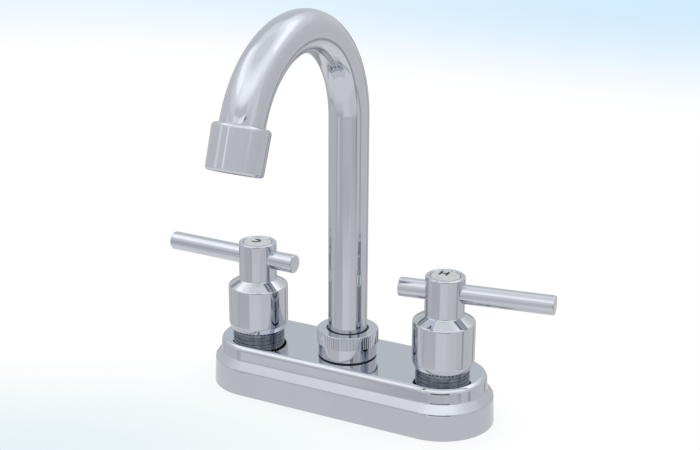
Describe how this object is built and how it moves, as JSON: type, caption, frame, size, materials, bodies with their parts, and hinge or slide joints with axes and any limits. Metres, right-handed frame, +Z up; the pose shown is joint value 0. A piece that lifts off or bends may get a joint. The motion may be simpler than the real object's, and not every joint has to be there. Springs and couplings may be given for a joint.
{
  "type": "basin mixer tap",
  "caption": "Chromed centreset basin tap with a tall swivelling gooseneck spout, round bar handles and a stepped obround base.",
  "frame": {"origin": "midway between the axes of the two supply shanks, on the plane of the basin deck that the base stands on", "axes": "+Z up, +X towards the hot valve, -Y towards the user, the way that the spout reaches"},
  "size_m": [0.2043, 0.1374, 0.2393],
  "materials": {
    "chrome": "polished chrome plate",
    "zinc": "dull zinc plate",
    "brass": "as turned, unplated",
    "stainless": "plain stainless steel",
    "disc_ceramic": "lapped alumina",
    "white_plastic": "moulded, satin gloss",
    "grey_plastic": "moulded acetal",
    "black_plastic": "moulded nylon",
    "black_rubber": "moulded rubber"
  },
  "bodies": {
    "base": {"base_cover": "chrome", "base_gasket": "black_rubber", "spout_hub": "brass", "hot_crossover_pipe": "brass", "cold_crossover_pipe": "brass", "deck_washers": "black_rubber", "deck_locknuts": "brass", "cold_valve_body": "brass", "cold_bonnet_ring": "zinc", "cold_seat_seal": "black_rubber", "cold_cartridge_body": "brass", "cold_fixed_disc": "disc_ceramic", "hot_valve_body": "brass", "hot_bonnet_ring": "zinc", "hot_seat_seal": "black_rubber", "hot_cartridge_body": "brass", "hot_fixed_disc": "disc_ceramic", "spout_nut": "chrome", "spout_nut_washer": "black_rubber", "spout_slip_ring": "black_plastic"},
    "cold_handle": {"cold_handle_bell": "chrome", "cold_handle_lever": "chrome", "cold_handle_stub": "chrome", "cold_index_button": "white_plastic", "cold_handle_screw": "stainless", "cold_spindle": "brass", "cold_spindle_o_ring": "black_rubber", "cold_moving_disc": "disc_ceramic"},
    "hot_handle": {"hot_handle_bell": "chrome", "hot_handle_lever": "chrome", "hot_handle_stub": "chrome", "hot_index_button": "white_plastic", "hot_handle_screw": "stainless", "hot_spindle": "brass", "hot_spindle_o_ring": "black_rubber", "hot_moving_disc": "disc_ceramic"},
    "spout": {"spout_tube": "chrome", "spout_tail": "brass", "spout_o_rings": "black_rubber", "outlet_nipple": "chrome", "aerator_housing": "chrome", "aerator_washer": "black_rubber", "aerator_screen": "stainless", "aerator_insert": "grey_plastic"}
  },
  "joints": [
    {"name": "spout_swivel", "type": "hinge", "parent": "base", "child": "spout", "pos_m": [0, 0, 0.03], "axis": [0, 0, 1], "continuous": true},
    {"name": "cold_handle_turn", "type": "hinge", "parent": "base", "child": "cold_handle", "pos_m": [-0.0508, 0, 0.0653], "axis": [0, 0, 1], "range_deg": [0, 90]},
    {"name": "hot_handle_turn", "type": "hinge", "parent": "base", "child": "hot_handle", "pos_m": [0.0508, 0, 0.0653], "axis": [0, 0, 1], "range_deg": [-90, 0]}
  ]
}
